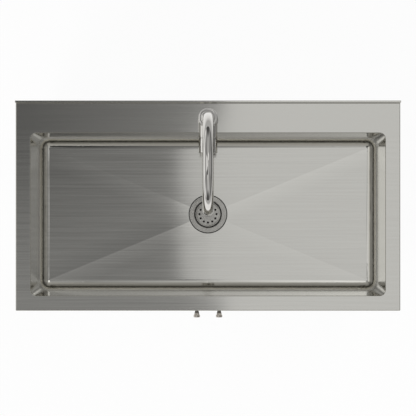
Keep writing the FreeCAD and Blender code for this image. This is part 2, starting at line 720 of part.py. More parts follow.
def cartridge_lever():
    half = LEVER_BAR / 2
    bar = block((-half, half), (-half, half), (PIVOT_REACH, LEVER_REACH - half))
    eye = rod(LEVER_EYE, vec(-half, 0, PIVOT_REACH), vec(half, 0, PIVOT_REACH))
    hole = rod(PIN_RADIUS + RUN, vec(-half, 0, PIVOT_REACH), vec(half, 0, PIVOT_REACH))
    return on_barrel(bar.fuse(eye).cut(hole))


def handle_cap():
    hollow = SPHERE + CAP_GAP
    centre = (0, PIVOT_REACH)
    rim_angle = math.degrees(math.acos(BARREL_RADIUS / hollow))
    groove = CAP_REACH - 3 * CAP_EDGE
    cap = turned([
        (0, PIVOT_REACH + hollow),
        bend(centre, hollow, rim_angle) + (rim_angle - 90,),
        (BARREL_RADIUS, groove - CAP_GROOVE),
        (BARREL_RADIUS - CAP_GROOVE, groove - CAP_GROOVE),
        (BARREL_RADIUS - CAP_GROOVE, groove + CAP_GROOVE),
        (BARREL_RADIUS, groove + CAP_GROOVE),
        (BARREL_RADIUS, CAP_REACH - CAP_EDGE),
        (BARREL_RADIUS - CAP_EDGE, CAP_REACH, 90),
        (0, CAP_REACH),
    ])
    half = LEVER_BAR / 2 + FIT
    socket = block((-half, half), (-half, half), (PIVOT_REACH, LEVER_REACH - LEVER_BAR / 2 + FIT))
    grip = rod(LEVER_RADIUS + FIT, vec(0, BARREL_RADIUS - LEVER_GRIP, LEVER_REACH),
               vec(0, CAP_REACH, LEVER_REACH))
    return on_barrel(cap.cut([socket, grip]))


def lever_rod():
    low = BARREL_RADIUS - LEVER_GRIP
    high = BARREL_RADIUS + LEVER_LENGTH
    return turned([
        (0, low),
        (LEVER_RADIUS, low),
        (LEVER_RADIUS, high - LEVER_RADIUS),
        (0, high, 90),
    ], TAP_Y - LEVER_REACH, BARREL_Z)


def spout_path():
    start = vec(0, TAP_Y, BODY_TOP + COLLAR_HEIGHT / 2)
    spring = vec(0, TAP_Y, SPOUT_Z)
    crown = vec(0, TAP_Y - SPOUT_RADIUS, SPOUT_Z + SPOUT_RADIUS)
    fall = vec(0, OUTLET_Y, SPOUT_Z)
    tip = vec(0, OUTLET_Y, TIP_Z)
    return [Part.makeLine(start, spring), Part.Arc(spring, crown, fall).toShape(), Part.makeLine(fall, tip)]


def seal_levels():
    return [BODY_TOP - SEAL_INSET, BODY_TOP - SPIGOT_LENGTH + SEAL_INSET]


def spout():
    low = BODY_TOP - SPIGOT_LENGTH
    groove = SPIGOT_RADIUS - 2 * SEAL_WIRE
    foot = turned([
        (0, low),
        (SPIGOT_RADIUS, low),
        (SPIGOT_RADIUS, BODY_TOP + LIFT),
        (COLLAR_RADIUS, BODY_TOP + LIFT),
        (COLLAR_RADIUS, BODY_TOP + COLLAR_HEIGHT / 2),
        (TUBE_RADIUS, BODY_TOP + COLLAR_HEIGHT, 60),
        (0, BODY_TOP + COLLAR_HEIGHT),
    ], TAP_Y)
    waterway = upright(WATERWAY_RADIUS, 0, TAP_Y, low, BODY_TOP + COLLAR_HEIGHT)
    half = SEAL_WIRE + SEAL_PLAY
    grooves = [ring(SPIGOT_RADIUS, groove, TAP_Y, z - half, z + half) for z in seal_levels()]
    body = pipe(spout_path(), TUBE_RADIUS).fuse(foot)
    return body.cut([pipe(spout_path(), TUBE_RADIUS - TUBE_WALL), waterway] + grooves)


def spout_seals():
    middle = SPIGOT_RADIUS - SEAL_WIRE + RUN / 2
    return [Part.makeTorus(middle, SEAL_WIRE, vec(0, TAP_Y, z), vec(0, 0, 1)) for z in seal_levels()]


def aerator_shell():
    rim = TUBE_RADIUS + AERATOR_RIM
    thread = TUBE_RADIUS - TUBE_WALL - FIT
    bore = thread - AERATOR_WALL
    return turned([
        (bore, -AERATOR_HEIGHT),
        (rim - AERATOR_EDGE, -AERATOR_HEIGHT),
        (rim, AERATOR_EDGE - AERATOR_HEIGHT, 90),
        (rim, 0),
        (thread, 0),
        (thread, AERATOR_GRIP),
        (bore, AERATOR_GRIP),
    ], OUTLET_Y, TIP_Z)


def aerator_insert():
    radius = TUBE_RADIUS - TUBE_WALL - AERATOR_WALL - 2 * FIT
    low = TIP_Z - AERATOR_HEIGHT + AERATOR_SETBACK
    high = TIP_Z + AERATOR_GRIP / 2
    disc = upright(radius, 0, OUTLET_Y, low, high)
    pitch = (radius - 2 * AERATOR_HOLE_RADIUS) / AERATOR_RINGS
    holes = [upright(AERATOR_HOLE_RADIUS, 0, OUTLET_Y, low, high)]
    for number in range(1, AERATOR_RINGS + 1):
        for i in range(6 * number):
            angle = math.pi * i / (3 * number)
            x = number * pitch * math.cos(angle)
            y = OUTLET_Y + number * pitch * math.sin(angle)
            holes.append(upright(AERATOR_HOLE_RADIUS, x, y, low, high))
    return disc.cut(holes)


# Cabinet boards

def side_panel():
    return block((INSIDE_HALF, CARCASS_HALF), (FRAME_BACK, CARCASS_BACK), (TOE_HEIGHT, UNDER))


def plinth_sides():
    # The two boards of the set-back base that the side panels stand on.
    return both(block((INSIDE_HALF, CARCASS_HALF), (TOE_FACE, CARCASS_BACK), (GLIDE_HEIGHT, TOE_HEIGHT)))


def frame_rails():
    half = CARCASS_HALF - FRAME_STILE
    return [block((-half, half), (FRAME_FRONT, FRAME_BACK), levels)
            for levels in ((TOE_HEIGHT, BOTTOM_TOP), (TOP_RAIL_FOOT, UNDER))]


def rear_rails():
    rails = [block((-INSIDE_HALF, INSIDE_HALF), (CARCASS_BACK - PANEL, CARCASS_BACK), levels)
             for levels in ((BOTTOM_TOP, LOW_RAIL_TOP), (HIGH_RAIL_FOOT, UNDER))]
    z = (BOTTOM_TOP + LOW_RAIL_TOP) / 2
    for x in (-WALL_HOLE_SPACING / 2, WALL_HOLE_SPACING / 2):
        hole = rod(WALL_HOLE_RADIUS, vec(x, CARCASS_BACK - PANEL, z), vec(x, CARCASS_BACK, z))
        rails[0] = rails[0].cut(hole)
    return rails


def back_panel():
    depth = (CARCASS_BACK - BACK_PANEL, CARCASS_BACK)
    board = block((-INSIDE_HALF, INSIDE_HALF), depth, (LOW_RAIL_TOP, HIGH_RAIL_FOOT))
    half = CUTOUT_WIDTH / 2
    height = (LOW_RAIL_TOP + CUTOUT_MARGIN, HIGH_RAIL_FOOT - CUTOUT_MARGIN)
    return board.cut(block((-half, half), depth, height))


def floor_glides():
    glides = []
    x = (INSIDE_HALF + CARCASS_HALF) / 2
    for y in (TOE_FACE + GLIDE_INSET, CARCASS_BACK - GLIDE_INSET):
        glides += both(upright(GLIDE_RADIUS, x, y, 0, GLIDE_HEIGHT))
    return glides


# Doors with their hinges, catches and knobs, each modelled on the right

def groove_depth():
    return (PANEL_FRONT - FIT, PANEL_FRONT + DOOR_PANEL + FIT)


def door_stiles():
    depth = (DOOR_FRONT, DOOR_BACK)
    height = (DOOR_FOOT, DOOR_TOP)
    meeting = block((DOOR_INNER, DOOR_INNER + DOOR_STILE), depth, height)
    hanging = block((DOOR_OUTER - DOOR_STILE, DOOR_OUTER), depth, height)
    edge = DOOR_INNER + DOOR_STILE
    meeting = meeting.cut(block((edge - GROOVE, edge), groove_depth(), height))
    edge = DOOR_OUTER - DOOR_STILE
    hanging = hanging.cut(block((edge, edge + GROOVE), groove_depth(), height))
    hole = rod(SCREW_RADIUS + FIT, vec(KNOB_X, DOOR_FRONT, KNOB_Z), vec(KNOB_X, DOOR_BACK, KNOB_Z))
    return [meeting.cut(hole), hanging]


def door_rails():
    left = DOOR_INNER + DOOR_STILE
    right = DOOR_OUTER - DOOR_STILE
    rails = []
    for low, edge, groove_end in ((DOOR_FOOT, DOOR_FOOT + DOOR_RAIL, -GROOVE),
                                  (DOOR_TOP - DOOR_RAIL, DOOR_TOP - DOOR_RAIL, GROOVE)):
        rail = block((left, right), (DOOR_FRONT, DOOR_BACK), (low, low + DOOR_RAIL))
        tongue = block((left - GROOVE, right + GROOVE), groove_depth(), (low, low + DOOR_RAIL))
        levels = sorted((edge, edge + groove_end))
        slot = block((left - GROOVE, right + GROOVE), groove_depth(), levels)
        rails.append(rail.fuse(tongue).cut(slot).removeSplitter())
    return rails


def door_panel():
    grip = GROOVE - PANEL_PLAY
    return block((DOOR_INNER + DOOR_STILE - grip, DOOR_OUTER - DOOR_STILE + grip),
                 (PANEL_FRONT, PANEL_FRONT + DOOR_PANEL),
                 (DOOR_FOOT + DOOR_RAIL - grip, DOOR_TOP - DOOR_RAIL + grip))


def door_bumpers():
    x = DOOR_INNER + BUMPER_INSET
    return [rod(BUMPER_RADIUS, vec(x, DOOR_BACK, z), vec(x, FRAME_FRONT - LIFT, z))
            for z in (DOOR_FOOT + BUMPER_INSET, DOOR_TOP - BUMPER_INSET)]


def hinge_leaf(low, plate_x, plate_y, spans, gaps):
    # A flat leaf whose rolled knuckles fill the given spans and stay clear of the other leaf's.
    leaf = block(plate_x, plate_y, (low, low + HINGE_HEIGHT))
    for span in gaps:
        leaf = leaf.cut(upright(KNUCKLE_RADIUS + KNUCKLE_GAP, HINGE_X, HINGE_Y, span[0], span[1]))
    leaf = leaf.fuse([upright(KNUCKLE_RADIUS, HINGE_X, HINGE_Y, span[0], span[1]) for span in spans])
    hole = upright(HINGE_PIN_RADIUS + FIT, HINGE_X, HINGE_Y, low, low + HINGE_HEIGHT)
    return leaf.cut(hole).removeSplitter()


def knuckle_spans(low):
    third = HINGE_HEIGHT / 3
    outer = [(low, low + third), (low + 2 * third, low + HINGE_HEIGHT)]
    inner = [(low + third + KNUCKLE_GAP, low + 2 * third - KNUCKLE_GAP)]
    return outer, inner


def frame_leaf(low):
    outer, inner = knuckle_spans(low)
    gap = [(inner[0][0] - KNUCKLE_GAP, inner[0][1] + KNUCKLE_GAP)]
    return hinge_leaf(low, (HINGE_X, HINGE_X + FRAME_LEAF_WIDTH), (FRAME_FRONT - HINGE_LEAF, FRAME_FRONT),
                      outer, gap)


def door_leaf(low):
    outer, inner = knuckle_spans(low)
    gaps = [(low, inner[0][0]), (inner[0][1], low + HINGE_HEIGHT)]
    return hinge_leaf(low, (HINGE_X - DOOR_LEAF_WIDTH, HINGE_X), (DOOR_BACK, DOOR_BACK + HINGE_LEAF),
                      inner, gaps)


def hinge_pin(low):
    pin = upright(HINGE_PIN_RADIUS, HINGE_X, HINGE_Y, low, low + HINGE_HEIGHT)
    heads = [upright(PIN_HEAD_RADIUS, HINGE_X, HINGE_Y, z, z + PIN_HEAD)
             for z in (low - PIN_HEAD, low + HINGE_HEIGHT)]
    return pin.fuse(heads).removeSplitter()


def catch_x():
    return (KNOB_X - CATCH_WIDTH / 2, KNOB_X + CATCH_WIDTH / 2)


def magnetic_catch():
    face = DOOR_BACK + STRIKE_THICKNESS + LIFT
    return block(catch_x(), (face, FRAME_FRONT + CATCH_DEPTH), (TOP_RAIL_FOOT - CATCH_HEIGHT, TOP_RAIL_FOOT))


def strike_plate():
    low = TOP_RAIL_FOOT - CATCH_HEIGHT
    return block(catch_x(), (DOOR_BACK, DOOR_BACK + STRIKE_THICKNESS), (low, TOP_RAIL_FOOT))


def knob():
    head = KNOB_PROJECTION - KNOB_HEAD
    solid = turned([
        (0, 0),
        (KNOB_FOOT, 0),
        (KNOB_FOOT, KNOB_BASE),
        (KNOB_NECK, KNOB_BASE + KNOB_WAIST, -50),
        (KNOB_RADIUS - KNOB_SHOULDER, head),
        (KNOB_RADIUS, head + KNOB_SHOULDER, 60),
        (KNOB_RADIUS, KNOB_PROJECTION - KNOB_CROWN / 2),
        (KNOB_RADIUS - KNOB_CROWN, KNOB_PROJECTION, 50),
        (0, KNOB_PROJECTION),
    ])
    solid = solid.cut(upright(SCREW_RADIUS + FIT, 0, 0, 0, SCREW_GRIP + SCREW_SPARE))
    return forward(solid, KNOB_X, DOOR_FRONT, KNOB_Z)


def knob_screw():
    shank = rod(SCREW_RADIUS, vec(KNOB_X, DOOR_FRONT - SCREW_GRIP, KNOB_Z), vec(KNOB_X, DOOR_BACK, KNOB_Z))
    head = rod(2 * SCREW_RADIUS, vec(KNOB_X, DOOR_BACK, KNOB_Z),
               vec(KNOB_X, DOOR_BACK + SCREW_RADIUS, KNOB_Z))
    return shank.fuse(head).removeSplitter()


def fixed_pieces():
    stile = block((CARCASS_HALF - FRAME_STILE, CARCASS_HALF), (FRAME_FRONT, FRAME_BACK), (TOE_HEIGHT, UNDER))
    inside = (-INSIDE_HALF, INSIDE_HALF)
    washer_radius = SHANK_RADIUS + WASHER_RIM + WASHER_SPARE
    thread = THREAD_RADIUS + THREAD_CLEARANCE
    pins = []
    leaves = []
    for low in HINGE_LEVELS:
        pins += both(hinge_pin(low))
        leaves += both(frame_leaf(low))
    return {
        "sink_deck": [sink_deck()],
        "sink_basin": [sink_basin()],
        "strainer_body": [strainer_body()],
        "strainer_gasket": [ring(FLANGE_RADIUS, thread, BASIN_Y, GASKET_Z, SEAT_Z - SHEET)],
        "friction_washer": [ring(FLANGE_RADIUS, thread, BASIN_Y, FRICTION_Z, GASKET_Z)],
        "strainer_locknut": [strainer_locknut()],
        "tailpiece": [tailpiece()],
        "coupling_nut": [coupling_nut()],
        "trap_slip_nuts": [slip_nut(BASIN_Y, TAIL_Z + SOCKET_DEPTH),
                           slip_nut(TRAP_EXIT_Y, TRAP_EXIT_Z + SOCKET_DEPTH)],
        "trap_bend": [trap_bend()],
        "trap_arm": [trap_arm()],
        "tap_base_gasket": [ring(BASE_RING_RADIUS - GASKET_INSET, SHANK_RADIUS + THREAD_CLEARANCE, TAP_Y,
                                 TOP_HEIGHT, RING_Z)],
        "tap_base_ring": [tap_base_ring()],
        "tap_body": [tap_body()],
        "mounting_shank": [mounting_shank()],
        "mounting_washer": [ring(washer_radius, SHANK_RADIUS + THREAD_CLEARANCE, TAP_Y,
                                 UNDER - WASHER_THICKNESS, UNDER)],
        "mounting_nut": [mounting_nut()],
        "cartridge_housing": [cartridge_housing()],
        "cartridge_bonnet": [cartridge_bonnet()],
        "left_side_panel": [mirrored(side_panel())],
        "right_side_panel": [side_panel()],
        "plinth_sides": plinth_sides(),
        "bottom_panel": [block(inside, (FRAME_BACK, CARCASS_BACK), (BOTTOM_FOOT, BOTTOM_TOP))],
        "back_panel": [back_panel()],
        "rear_rails": rear_rails(),
        "toe_board": [block(inside, (TOE_FACE, TOE_FACE + PANEL), (GLIDE_HEIGHT, BOTTOM_FOOT))],
        "frame_stiles": both(stile),
        "frame_rails": frame_rails(),
        "floor_glides": floor_glides(),
        "hinge_frame_leaves": leaves,
        "hinge_pins": pins,
        "magnetic_catches": both(magnetic_catch()),
    }


def door_pieces():
    pieces = {
        "door_stiles": door_stiles(),
        "door_rails": door_rails(),
        "door_panel": [door_panel()],
        "door_bumpers": door_bumpers(),
        "hinge_leaves": [door_leaf(low) for low in HINGE_LEVELS],
        "strike_plate": [strike_plate()],
        "knob": [knob()],
        "knob_screw": [knob_screw()],
    }
    nodes = {}
    for name, solids in pieces.items():
        nodes["right_" + name] = solids
        nodes["left_" + name] = [mirrored(solid) for solid in solids]
    return nodes


def moving_tap_pieces():
    return {
        "spout": [spout()],
        "spout_seals": spout_seals(),
        "aerator_shell": [aerator_shell()],
        "aerator_insert": [aerator_insert()],
        "cartridge_turret": [cartridge_turret()],
        "cartridge_pin": [cartridge_pin()],
        "cartridge_lever": [cartridge_lever()],
        "handle_cap": [handle_cap()],
        "lever_rod": [lever_rod()],
        "basket_cup": [basket_cup()],
        "basket_post": [basket_post()],
        "basket_stopper": [basket_stopper()],
    }


def main():
    os.makedirs("parts", exist_ok=True)
    nodes = fixed_pieces()
    nodes.update(door_pieces())
    nodes.update(moving_tap_pieces())
    for name, pieces in nodes.items():
        solids = [solid for piece in pieces for solid in piece.Solids]
        shape = solids[0] if len(solids) == 1 else Part.makeCompound(solids)
        shape.exportStep("parts/" + name + ".step")


if __name__ == "__main__":
    main()
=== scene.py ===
import math

import bmesh
import bpy
from mathutils import Matrix, Vector


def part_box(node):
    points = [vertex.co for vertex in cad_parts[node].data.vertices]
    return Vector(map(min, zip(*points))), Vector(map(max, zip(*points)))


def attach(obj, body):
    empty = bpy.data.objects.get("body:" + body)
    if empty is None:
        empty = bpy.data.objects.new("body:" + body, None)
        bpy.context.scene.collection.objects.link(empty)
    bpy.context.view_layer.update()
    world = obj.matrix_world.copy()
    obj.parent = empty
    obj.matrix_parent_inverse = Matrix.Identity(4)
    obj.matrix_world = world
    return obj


# Laundry sink cabinet seen from straight above, in metres.

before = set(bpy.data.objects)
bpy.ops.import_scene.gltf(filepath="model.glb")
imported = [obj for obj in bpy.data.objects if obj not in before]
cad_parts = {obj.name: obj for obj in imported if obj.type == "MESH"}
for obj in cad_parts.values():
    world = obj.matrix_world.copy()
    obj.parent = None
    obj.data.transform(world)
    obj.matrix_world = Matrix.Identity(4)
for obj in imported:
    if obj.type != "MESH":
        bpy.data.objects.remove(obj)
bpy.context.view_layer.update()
scene = bpy.context.scene
scene.view_settings.view_transform = "Standard"

# Camera, with its sensor in millimetres
DECK_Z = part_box("sink_basin")[1].z
CAMERA_ABOVE_DECK = 5.6
VIEW_WIDTH_AT_DECK = 1.1894
CAMERA_Y = 0.0062
SENSOR = 36.0
CLIP_END = 100.0


def make_camera():
    data = bpy.data.cameras.new("camera")
    data.sensor_width = SENSOR
    data.lens = SENSOR * CAMERA_ABOVE_DECK / VIEW_WIDTH_AT_DECK
    data.clip_end = CLIP_END
    camera = bpy.data.objects.new("camera", data)
    camera.location = (0.0, CAMERA_Y, DECK_Z + CAMERA_ABOVE_DECK)
    scene.collection.objects.link(camera)
    scene.camera = camera


# Node helpers
# The Mix node's first input, second input and output, for each type of data.
MIX_SOCKETS = {"FLOAT": (2, 3, 0), "VECTOR": (4, 5, 1), "RGBA": (6, 7, 2)}
NOISE_ROUGHNESS = 0.55
# Most of a noise texture lies between these values.
NOISE_SPAN = (0.3, 0.7)


def feed(tree, value, socket):
    # Links another node's output to the socket, or sets a constant on it.
    if isinstance(value, bpy.types.NodeSocket):
        tree.links.new(value, socket)
    else:
        socket.default_value = value


def add(tree, kind, values=None, **settings):
    node = tree.nodes.new(kind)
    for key, value in settings.items():
        setattr(node, key, value)
    for socket, value in (values or {}).items():
        feed(tree, value, node.inputs[socket])
    return node


def math_node(tree, operation, *values):
    return add(tree, "ShaderNodeMath", dict(enumerate(values)), operation=operation).outputs[0]


def vector_node(tree, operation, *values):
    return add(tree, "ShaderNodeVectorMath", dict(enumerate(values)), operation=operation).outputs


def mix(tree, kind, share, first, second, **settings):
    first_place, second_place, out_place = MIX_SOCKETS[kind]
    values = {0: share, first_place: first, second_place: second}
    return add(tree, "ShaderNodeMix", values, data_type=kind, **settings).outputs[out_place]


def toned(tree, colour, tone):
    return mix(tree, "RGBA", 1.0, colour, tone, blend_type="MULTIPLY")


def map_range(tree, source, low, high, to_low, to_high, smooth=False):
    values = {"Value": source, "From Min": low, "From Max": high, "To Min": to_low, "To Max": to_high}
    kind = "SMOOTHSTEP" if smooth else "LINEAR"
    return add(tree, "ShaderNodeMapRange", values, interpolation_type=kind).outputs["Result"]


def ramp(tree, source, stops, grey=True):
    node = add(tree, "ShaderNodeValToRGB", {"Fac": source})
    elements = node.color_ramp.elements
    while len(elements) > 1:
        elements.remove(elements[0])
    for i, (place, value) in enumerate(stops):
        element = elements[0] if i == 0 else elements.new(place)
        element.position = place
        element.color = (value, value, value, 1.0) if grey else (*value, 1.0)
    return node.outputs["Color"]


def split_xyz(tree, vector):
    return add(tree, "ShaderNodeSeparateXYZ", {"Vector": vector}).outputs


def combine_xyz(tree, x, y, z):
    return add(tree, "ShaderNodeCombineXYZ", {"X": x, "Y": y, "Z": z}).outputs["Vector"]


def hypotenuse(tree, first, second):
    squares = [math_node(tree, "POWER", side, 2.0) for side in (first, second)]
    return math_node(tree, "SQRT", math_node(tree, "ADD", *squares))


def noise(tree, vector, scale, detail, roughness=NOISE_ROUGHNESS):
    values = {"Vector": vector, "Scale": scale, "Detail": detail, "Roughness": roughness}
    return add(tree, "ShaderNodeTexNoise", values).outputs["Fac"]


def two_tones(tree, source, tones):
    return ramp(tree, source, zip(NOISE_SPAN, tones), grey=False)


def two_levels(tree, source, levels):
    return map_range(tree, source, *NOISE_SPAN, *levels)


def stretched(tree, vector, scale):
    return add(tree, "ShaderNodeMapping", {"Vector": vector, "Scale": scale}).outputs["Vector"]


def bump(tree, shader, heights, strength=1.0, last=None):
    # Heights are (source, depth in metres) pairs, laid over each other and over the normal last.
    for source, depth in heights:
        values = {"Height": source, "Distance": depth, "Strength": strength}
        if last is not None:
            values["Normal"] = last
        last = add(tree, "ShaderNodeBump", values).outputs["Normal"]
    tree.links.new(last, shader.inputs["Normal"])


def object_place(tree):
    return add(tree, "ShaderNodeTexCoord").outputs["Object"]


def empty_material(name):
    material = bpy.data.materials.new(name)
    material.use_nodes = True
    material.node_tree.nodes.clear()
    return material, material.node_tree


def surface_material(name, metallic):
    material, tree = empty_material(name)
    shader = add(tree, "ShaderNodeBsdfPrincipled", {"Metallic": metallic})
    add(tree, "ShaderNodeOutputMaterial", {"Surface": shader.outputs["BSDF"]})
    return material, tree, shader


# Plain finishes
DRIFT_DETAIL = 4.0
GRAIN_DETAIL = 2.0
GRAIN_SCALE = 900.0
# Radius of the boards' sanded edges.
BOARD_EDGE = 0.0012
# Distance behind a knob's front over which painted shade darkens its neck, and the tone of that painted
# shade.
NECK_START = (0.011, 0.0135)
NECK_PAINTED_SHADE = 0.25


def plain_finish(name, tones, rough, scale, metallic=0.0, grain=0.0, grain_scale=GRAIN_SCALE,
                 edge=0.0, tone=None):
    # A finish whose tone and gloss drift a little over the surface, with a fine surface grain.
    material, tree, shader = surface_material(name, metallic)
    place = object_place(tree)
    drift = noise(tree, place, scale, DRIFT_DETAIL)
    colour = two_tones(tree, drift, tones)
    # A tone given here is painted shade, as on the knobs' necks.
    if tone:
        colour = toned(tree, colour, tone(tree, place))
    tree.links.new(colour, shader.inputs["Base Color"])
    tree.links.new(two_levels(tree, drift, rough), shader.inputs["Roughness"])
    sanded = add(tree, "ShaderNodeBevel", {"Radius": edge}).outputs["Normal"] if edge else None
    if grain:
        bump(tree, shader, [(noise(tree, place, grain_scale, GRAIN_DETAIL), grain)], last=sanded)
    return material


def painted_neck_shade(tree, place):
    # Painted shade darkens a knob's neck behind its head.
    y = split_xyz(tree, place)["Y"]
    behind = math_node(tree, "SUBTRACT", y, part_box("left_knob")[0].y)
    return map_range(tree, behind, *NECK_START, 1.0, NECK_PAINTED_SHADE, smooth=True)


# Strainer steel, turned on a lathe: polished above the basket's underside; cast and duller below it, where
# its near black colour is painted shade inside the drain
STRAINER = Vector((0.0, -0.012))
STRAINER_TONES = ((0.42, 0.41, 0.385), (0.62, 0.61, 0.575))
STRAINER_ROUGHNESS = (0.18, 0.3)
STRAINER_DRIFT_SCALE = 60.0
POLISH_SPAN = 0.002
# Near black painted shade below the basket's underside, and the roughness there.
DRAIN_PAINTED_SHADE = (0.03, 0.03, 0.028, 1.0)
UNDER_BASKET_ROUGHNESS = (0.5, 0.6)
# Scale, detail and roughness of the turning rings, their share in the tone and their depth.
RINGS = (420.0, 5.0, 0.65)
RING_SHARE = 0.6
RING_DEPTH = 0.00002
STRAINER_GRAIN = 0.000005
HOLES = 12
HOLE_CIRCLE = 0.0254
# Painted shade around each hole: the distances over which it fades, and its darkest tone.
HOLE_EDGE = (0.0027, 0.0037)
HOLE_PAINTED_SHADE = 0.12


def painted_hole_shade(tree, x, off_y, radius):
    # Painted shade darkens the edge of each hole in the basket.
    step = 2 * math.pi / HOLES
    turns = math_node(tree, "MULTIPLY_ADD", math_node(tree, "ARCTAN2", off_y, x), 1 / step, 0.5)
    off_turn = math_node(tree, "SUBTRACT", math_node(tree, "FRACT", turns), 0.5)
    off_side = math_node(tree, "MULTIPLY", math_node(tree, "MULTIPLY", off_turn, step), radius)
    off_circle = math_node(tree, "SUBTRACT", radius, HOLE_CIRCLE)
    distance = hypotenuse(tree, off_side, off_circle)
    return map_range(tree, distance, *HOLE_EDGE, HOLE_PAINTED_SHADE, 1.0, smooth=True)


def strainer_steel(name):
    material, tree, shader = surface_material(name, 1.0)
    place = object_place(tree)
    x, y, z = split_xyz(tree, place)
    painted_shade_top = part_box("basket_cup")[0].z
    polished_and_unshaded = map_range(tree, z, painted_shade_top - POLISH_SPAN, painted_shade_top, 0.0, 1.0)
    off_y = math_node(tree, "SUBTRACT", y, STRAINER.y)
    radius = hypotenuse(tree, x, off_y)
    rings = noise(tree, combine_xyz(tree, radius, z, 0.0), *RINGS)
    mottle = noise(tree, place, STRAINER_DRIFT_SCALE, DRIFT_DETAIL)
    drift = math_node(tree, "ADD", math_node(tree, "MULTIPLY", mottle, 1.0 - RING_SHARE),
                      math_node(tree, "MULTIPLY", rings, RING_SHARE))
    # Below the basket's underside the colour is painted shade.
    colour = mix(tree, "RGBA", polished_and_unshaded, DRAIN_PAINTED_SHADE, two_tones(tree, drift, STRAINER_TONES))
    # Painted shade at the holes' edges.
    edges = painted_hole_shade(tree, x, off_y, radius)
    tree.links.new(toned(tree, colour, edges), shader.inputs["Base Color"])
    rough = mix(tree, "FLOAT", polished_and_unshaded, two_levels(tree, drift, UNDER_BASKET_ROUGHNESS),
                two_levels(tree, drift, STRAINER_ROUGHNESS))
    tree.links.new(rough, shader.inputs["Roughness"])
    grain = noise(tree, place, GRAIN_SCALE, GRAIN_DETAIL)
    bump(tree, shader, [(rings, RING_DEPTH), (grain, STRAINER_GRAIN)])
    return material


# Brushed steel of the deck and the basin
BASIN_DEPTH = 0.23
STEEL_TONES = ((0.54, 0.533, 0.502), (0.70, 0.693, 0.655))
STEEL_ROUGHNESS = (0.062, 0.078)
ANISOTROPY = 0.8
# Direction across the brushing, used as the tangent.
ACROSS_BRUSH = (0.0, 0.35, 1.0)
# Brush lines per metre along and across the brushing, and how they fade to the right and on the rear deck.
BRUSH_ALONG = 3.0
BRUSH_ACROSS = 220.0
FADE_TO_RIGHT = (-0.1, 0.1, 1.0, 0.25)
FADE_ON_REAR = (0.2, 0.23, 1.0, 0.2)
# Scale, detail and roughness of the brush lines' noise, and the lines' depth.
LINES = (1.0, 6.0, 0.65)
FINE_LINES = (12.0, 2.0, 0.6)
LINE_DEPTH = 0.000004
FINE_LINE_DEPTH = 0.000001
# Faces whose normal has at least this share along X are brushed along Y.
SIDEWAYS = 0.8

# The tables and spans below go by the upright share of a face's normal: 0 on a wall, 1 on a level face.
# Pressed bends have painted shade and painted highlight in their tone, and a warm tint and a polish of their
# own.
BEND_PAINTED_LIGHT = [(0.1, 1.0), (0.25, 1.2), (0.56, 1.2), (0.66, 0.25), (0.76, 0.25), (0.84, 0.6), (0.95, 0.8),
              (0.985, 0.85), (0.998, 1.0)]
NO_TINT = (1.0, 1.0, 1.0)
WARM_TINT = (1.0, 0.975, 0.91)
BEND_TINTS = [(0.1, NO_TINT), (0.3, WARM_TINT), (0.95, WARM_TINT), (0.998, NO_TINT)]
BEND_POLISH = [(0.06, 1.0), (0.15, 1.2), (0.55, 1.6), (0.66, 0.6), (0.85, 0.5), (0.97, 1.0)]
# Walls have a lighter tone than level faces, which is painted light; they are also duller, and their finish
# leans up.
WALL_PAINTED_LIGHT = (0.82, 0.81, 0.775, 1.0)
WALL_PAINTED_LIGHT_END = (0.3, 0.55)
WALL_DULL_END = (0.2, 0.8)
WALL_LEAN = 0.09
WALL_LEAN_END = (0.1, 0.3)
# The brush lines' depth grows to its full over this span.
LINES_START = (0.6, 0.98)
# Faces this near to level are shaded without their fall to the side.
LEVEL_FACES = (0.995, 0.999)

# Roughness that walls add, high up and low down, and the heights above the floor between the two.
WALL_ROUGHNESS = 0.083
LOW_WALL_ROUGHNESS = 0.383
LOW_WALL = (0.03, 0.075)
# Painted light and shade on the floor by its distance in front of a rear or a front crease, which fades on
# the right half.
CREASE_RUN = Vector((0.468, 0.1935))
CREASE_SPAN = (-0.06, 0.05)
REAR_CREASE_PAINTED_LIGHT = [(0.0, 0.97), (0.53, 0.97), (0.56, 1.13), (0.6, 1.11), (1.0, 0.97)]
REAR_CREASE_FADE = (-0.02, 0.02, 1.0, 0.5)
FRONT_CREASE_PAINTED_LIGHT = [(0.0, 0.97), (0.53, 0.82), (0.56, 1.25), (0.6, 1.18), (1.0, 0.97)]
FRONT_CREASE_FADE = (-0.02, 0.02, 1.0, 0.12)
# The creases' painted light ends within this span of heights above the floor.
FLOOR_LEVELS = (0.0005, 0.004)


def crease_painted_light(tree, x, y, above):
    # Painted highlight makes the floor lighter just in front of each pressed crease, and painted shade
    # darker just behind each front one; each crease runs from a floor corner to the strainer.
    slope = CREASE_RUN.y / CREASE_RUN.x
    square = math.cos(math.atan(slope))
    rise = math_node(tree, "MULTIPLY", math_node(tree, "ABSOLUTE", x), slope)
    off_y = math_node(tree, "SUBTRACT", y, STRAINER.y)
    ahead_of_rear = math_node(tree, "MULTIPLY", math_node(tree, "SUBTRACT", rise, off_y), square)
    ahead_of_front = math_node(tree, "MULTIPLY", math_node(tree, "ADD", rise, off_y), -square)
    on_floor = map_range(tree, above, *FLOOR_LEVELS, 1.0, 0.0)
    tones = []
    for ahead, table, fade in ((ahead_of_rear, REAR_CREASE_PAINTED_LIGHT, REAR_CREASE_FADE),
                               (ahead_of_front, FRONT_CREASE_PAINTED_LIGHT, FRONT_CREASE_FADE)):
        tone = ramp(tree, map_range(tree, ahead, *CREASE_SPAN, 0.0, 1.0), table)
        share = math_node(tree, "MULTIPLY", on_floor, map_range(tree, x, *fade, smooth=True))
        tones.append(math_node(tree, "MULTIPLY_ADD", math_node(tree, "SUBTRACT", tone, 1.0), share, 1.0))
    return math_node(tree, "MULTIPLY", *tones)


